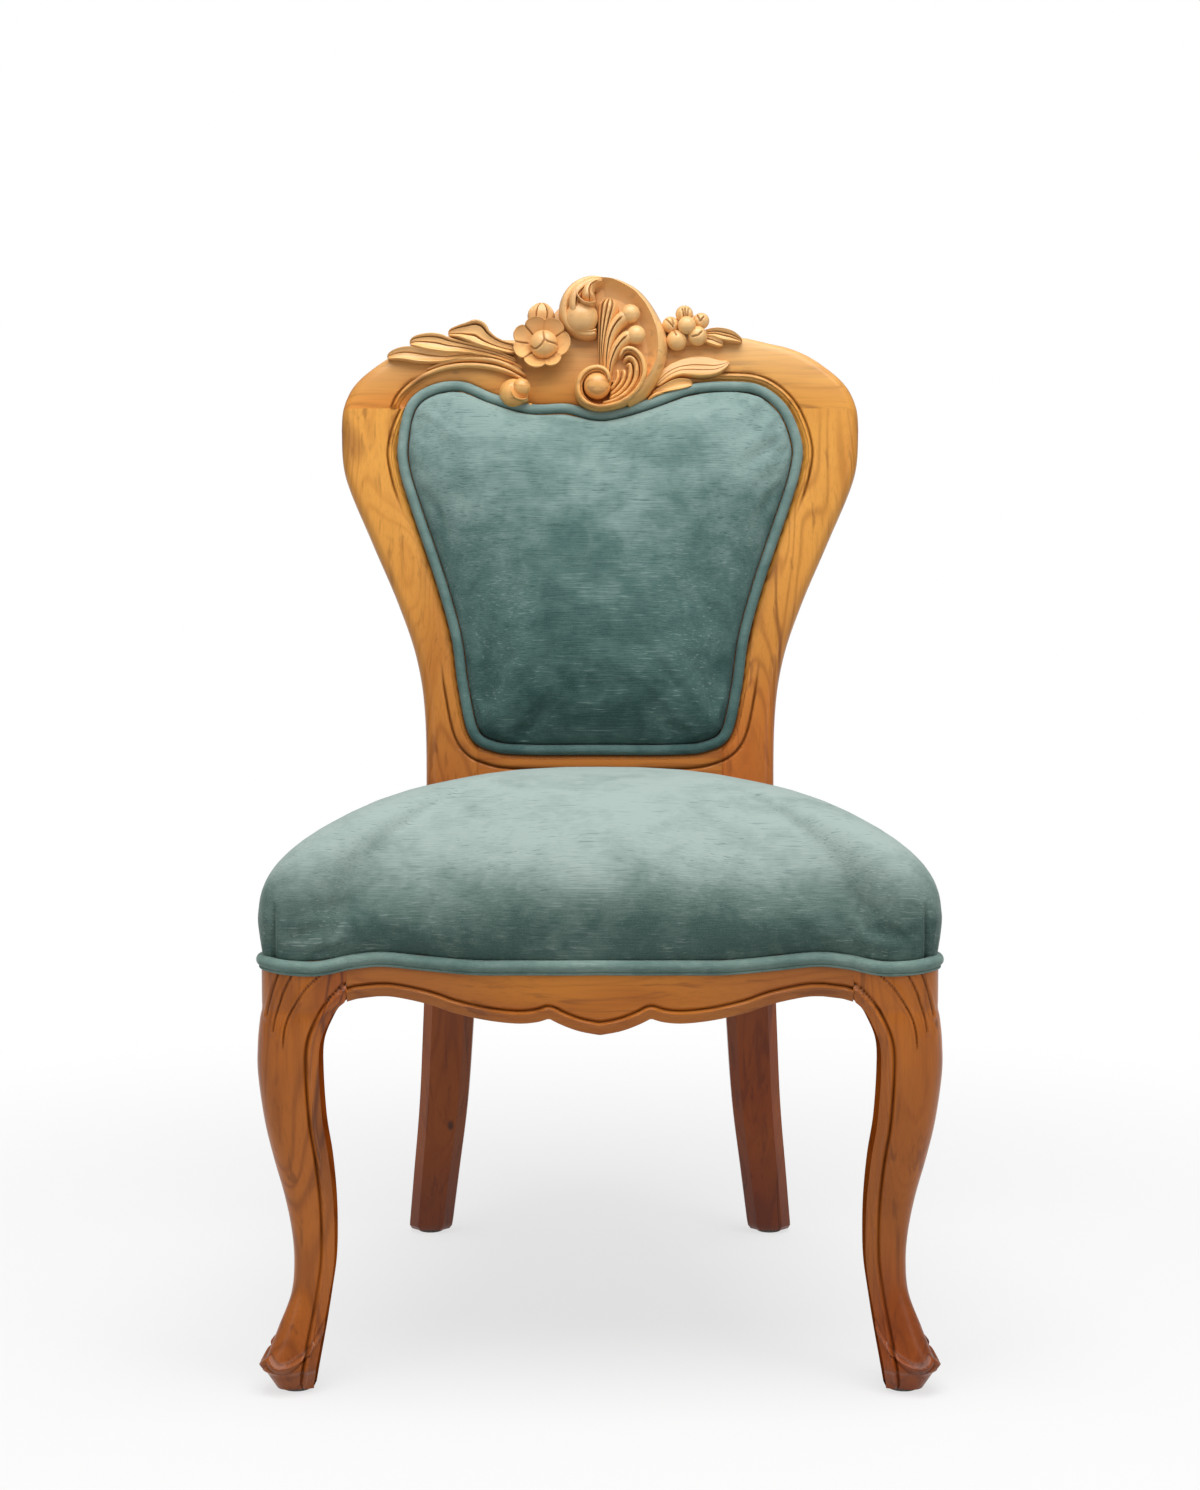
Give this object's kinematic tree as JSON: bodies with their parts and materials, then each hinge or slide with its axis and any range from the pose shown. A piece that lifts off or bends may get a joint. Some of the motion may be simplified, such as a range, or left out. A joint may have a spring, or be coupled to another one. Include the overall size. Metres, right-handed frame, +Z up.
{
  "type": "upholstered dining chair",
  "caption": "Carved wooden dining chair with a padded balloon back, a crowned upholstered seat, cabriole front legs and raked back legs.",
  "frame": {"origin": "middle of the chair's footprint box, on the floor that it stands on", "axes": "+Z up, +X to the right when seen from the front, +Y from the front of the seat towards the back"},
  "size_m": [0.5606, 0.593, 0.963],
  "materials": {
    "show_wood": "glossy amber varnish over brown-veined wood",
    "carved_wood": "glossy amber varnish, darker in the hollows",
    "plain_wood": "bare beech",
    "velvet": "sage teal velvet with a brushed pile",
    "welt_velvet": "the same velvet sewn over a cord",
    "webbing": "woven jute",
    "hessian": "coarse hessian",
    "foam": "open foam",
    "cambric": "black cambric",
    "steel": "zinc-plated steel",
    "glide": "dark grey plastic"
  },
  "bodies": {
    "root": {"front_left_leg": "show_wood", "front_right_leg": "show_wood", "left_back_post": "show_wood", "right_back_post": "show_wood", "front_seat_rail": "show_wood", "left_seat_rail": "show_wood", "right_seat_rail": "show_wood", "rear_seat_rail": "show_wood", "crest_rail": "show_wood", "lower_back_rail": "show_wood", "front_left_corner_block": "plain_wood", "front_right_corner_block": "plain_wood", "rear_left_corner_block": "plain_wood", "rear_right_corner_block": "plain_wood", "corner_block_screws": "steel", "seat_frame_dowels": "plain_wood", "back_frame_dowels": "plain_wood", "foot_glides": "glide", "scroll_carving": "carved_wood", "rose_carving": "carved_wood", "left_leaf_carving": "carved_wood", "bud_carving": "carved_wood", "blossom_carving": "carved_wood", "right_leaf_carving": "carved_wood", "seat_webbing": "webbing", "webbing_tacks": "steel", "seat_hessian": "hessian", "seat_foam": "foam", "seat_cover": "velvet", "seat_welt": "welt_velvet", "rear_seat_welt": "welt_velvet", "dust_cover": "cambric", "back_webbing": "webbing", "back_hessian": "hessian", "back_foam": "foam", "back_cover": "velvet", "back_welt": "welt_velvet", "outside_back_cover": "velvet", "outside_back_welt": "welt_velvet"}
  },
  "joints": []
}
